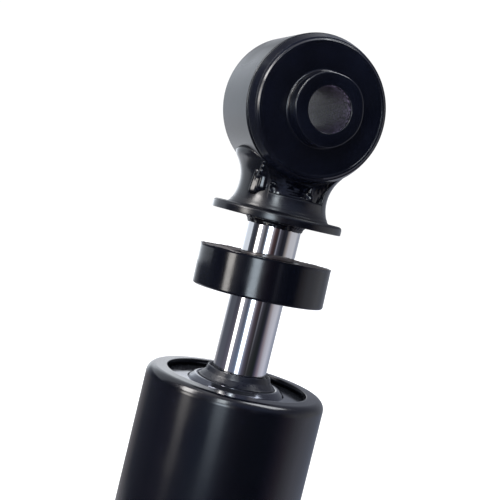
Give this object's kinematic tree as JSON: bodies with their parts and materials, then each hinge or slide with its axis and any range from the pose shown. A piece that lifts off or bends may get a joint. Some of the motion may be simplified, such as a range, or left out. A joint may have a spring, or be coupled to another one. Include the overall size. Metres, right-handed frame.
{
  "type": "twin-tube shock absorber",
  "caption": "Twin-tube hydraulic rear damper with a chromed rod, rubber bump stop, saddle collar and a rubber-bushed bolt eye at each end.",
  "frame": {"origin": "centre of the lower eye's bolt bore", "axes": "+Z along the damper's axis from the lower eye to the upper eye, Y along both bolt bores, -Y towards the front face of the eyes"},
  "size_m": [0.043, 0.043, 0.3054],
  "materials": {
    "black_paint": "satin black enamel",
    "painted_weld": "glossy paint over rough weld",
    "bush_rubber": "smooth moulded",
    "stop_rubber": "semi-gloss moulded",
    "seal_rubber": "smooth oiled",
    "rod_chrome": "hard chrome, ground",
    "plate_steel": "dark polished",
    "sleeve_steel": "rough phosphated",
    "tube_steel": "turned",
    "spring_steel": "blued",
    "sintered_iron": "sintered",
    "bronze": "satin",
    "band_plastic": "matte"
  },
  "bodies": {
    "cylinder": {"reserve_tube": "black_paint", "bottom_cap": "black_paint", "bottom_seam_weld": "painted_weld", "lower_eye_ring": "black_paint", "lower_eye_weld": "painted_weld", "lower_bush_front": "bush_rubber", "lower_bush_rear": "bush_rubber", "pressure_tube": "tube_steel", "rod_guide": "sintered_iron", "rod_guide_bush": "bronze", "guide_o_ring": "seal_rubber", "oil_seal": "seal_rubber", "garter_spring": "spring_steel", "seal_plate": "plate_steel", "base_valve_body": "sintered_iron", "base_valve_rivet": "tube_steel", "compression_discs": "spring_steel", "base_check_spring": "spring_steel"},
    "base_check_plate": {"base_check_plate": "spring_steel"},
    "lower_sleeve": {"lower_sleeve": "sleeve_steel"},
    "piston_band": {"piston_band": "band_plastic"},
    "rod": {"piston_rod": "rod_chrome", "piston": "sintered_iron", "rebound_discs": "spring_steel", "backup_washer": "tube_steel", "piston_nut": "tube_steel", "valve_spacer": "tube_steel", "valve_stop": "tube_steel", "piston_check_spring": "spring_steel", "rebound_stop": "tube_steel", "rebound_bumper": "seal_rubber", "saddle_collar": "black_paint", "rod_weld": "painted_weld", "eye_weld_front": "painted_weld", "eye_weld_rear": "painted_weld", "upper_eye_ring": "black_paint", "upper_bush_front": "bush_rubber", "upper_bush_rear": "bush_rubber"},
    "upper_sleeve": {"upper_sleeve": "sleeve_steel"},
    "bump_stop": {"bump_stop": "stop_rubber"},
    "piston_check_plate": {"piston_check_plate": "spring_steel"}
  },
  "joints": [
    {"name": "rod_slide", "type": "slide", "parent": "cylinder", "child": "piston_band", "axis": [0, 0, 1], "range_m": [-0.0175, 0.08]},
    {"name": "rod_spin", "type": "hinge", "parent": "piston_band", "child": "rod", "pos_m": [0, 0, 0.272], "axis": [0, 0, 1], "continuous": true},
    {"name": "bump_stop_slide", "type": "slide", "parent": "rod", "child": "bump_stop", "axis": [0, 0, 1], "range_m": [0, 0.0074]},
    {"name": "upper_sleeve_twist", "type": "hinge", "parent": "rod", "child": "upper_sleeve", "pos_m": [0, 0, 0.272], "axis": [0, 1, 0], "range_deg": [-20, 20], "stiffness_Nm_per_rad": 10},
    {"name": "lower_sleeve_twist", "type": "hinge", "parent": "cylinder", "child": "lower_sleeve", "pos_m": [0, 0, 0], "axis": [0, 1, 0], "range_deg": [-20, 20], "stiffness_Nm_per_rad": 10},
    {"name": "piston_check_lift", "type": "slide", "parent": "rod", "child": "piston_check_plate", "axis": [0, 0, 1], "range_m": [0, 0.001], "stiffness_N_per_m": 400, "springref_m": -0.001, "deforming": ["piston_check_spring"]},
    {"name": "base_check_lift", "type": "slide", "parent": "cylinder", "child": "base_check_plate", "axis": [0, 0, 1], "range_m": [0, 0.001], "stiffness_N_per_m": 300, "springref_m": -0.001, "deforming": ["base_check_spring"]}
  ]
}
